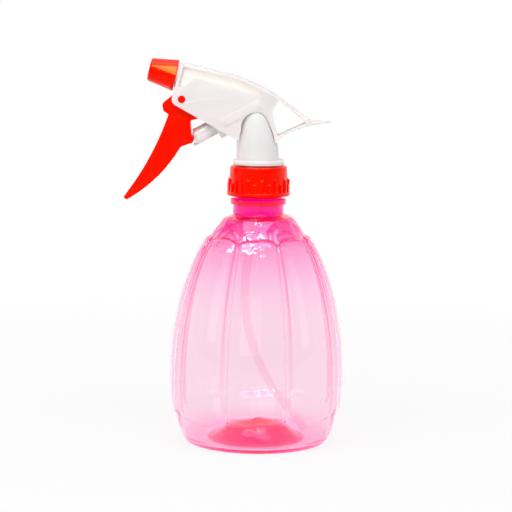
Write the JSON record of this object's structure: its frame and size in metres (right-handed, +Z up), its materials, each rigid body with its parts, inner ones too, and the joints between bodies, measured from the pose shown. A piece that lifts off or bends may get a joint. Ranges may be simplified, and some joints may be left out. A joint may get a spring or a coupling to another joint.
{
  "type": "trigger spray bottle",
  "caption": "Pink lobed plastic spray bottle with a red ribbed collar, white pump head, red trigger and adjustable nozzle.",
  "frame": {"origin": "centre of the bottle's base, on the plane it stands on", "axes": "+Z up along the bottle's axis, -X towards the nozzle and trigger"},
  "size_m": [0.1167, 0.0922, 0.2029],
  "materials": {
    "pink_bottle": "clear gloss",
    "red_plastic": "gloss",
    "white_plastic": "satin gloss",
    "natural_plastic": "satin",
    "piston_plastic": "milky",
    "tube_plastic": "clear",
    "seal_rubber": "matte",
    "spring_steel": "bright"
  },
  "bodies": {
    "bottle": {"bottle": "pink_bottle"},
    "head": {"shroud": "white_plastic", "pump_body": "white_plastic", "discharge_tube": "natural_plastic", "swirl_insert": "natural_plastic", "inlet_connector": "natural_plastic", "outlet_seat": "natural_plastic", "neck_gasket": "natural_plastic", "dip_tube": "tube_plastic", "return_spring": "spring_steel"},
    "closure": {"closure_collar": "red_plastic"},
    "trigger": {"trigger": "red_plastic"},
    "plunger": {"piston": "piston_plastic", "piston_seal": "seal_rubber", "vent_seal": "seal_rubber"},
    "nozzle_carrier": {"nozzle_seal": "seal_rubber"},
    "nozzle": {"spray_nozzle": "red_plastic"},
    "inlet_valve": {"inlet_ball": "spring_steel"},
    "outlet_valve": {"outlet_ball": "spring_steel"}
  },
  "joints": [
    {"name": "head_lift", "type": "slide", "parent": "bottle", "child": "head", "axis": [0, 0, 1], "range_m": [0, 0.09]},
    {"name": "closure_turn", "type": "hinge", "parent": "head", "child": "closure", "pos_m": [0, 0, 0.139], "axis": [0, 0, 1], "range_deg": [0, 540]},
    {"name": "trigger_pull", "type": "hinge", "parent": "head", "child": "trigger", "pos_m": [-0.0405, 0, 0.1819], "axis": [0, -1, 0], "range_deg": [0, 20]},
    {"name": "piston_stroke", "type": "slide", "parent": "head", "child": "plunger", "axis": [0.8838, 0, 0.4679], "range_m": [0, 0.00736], "stiffness_N_per_m": 1300, "deforming": ["return_spring"]},
    {"name": "nozzle_travel", "type": "slide", "parent": "head", "child": "nozzle_carrier", "axis": [-0.9748, 0, 0.2233], "range_m": [0, 0.0015]},
    {"name": "nozzle_turn", "type": "hinge", "parent": "nozzle_carrier", "child": "nozzle", "pos_m": [-0.0438, 0, 0.1939], "axis": [-0.9748, 0, 0.2233], "range_deg": [0, 360]},
    {"name": "inlet_ball_lift", "type": "slide", "parent": "head", "child": "inlet_valve", "axis": [0, 0, 1], "range_m": [0, 0.001]},
    {"name": "outlet_ball_lift", "type": "slide", "parent": "head", "child": "outlet_valve", "axis": [0, 0, 1], "range_m": [0, 0.001]}
  ],
  "couplings": [
    {"joint": "trigger_pull", "follows": "piston_stroke", "rad_per_m": 47.39},
    {"joint": "nozzle_turn", "follows": "nozzle_travel", "rad_per_m": 4188}
  ]
}
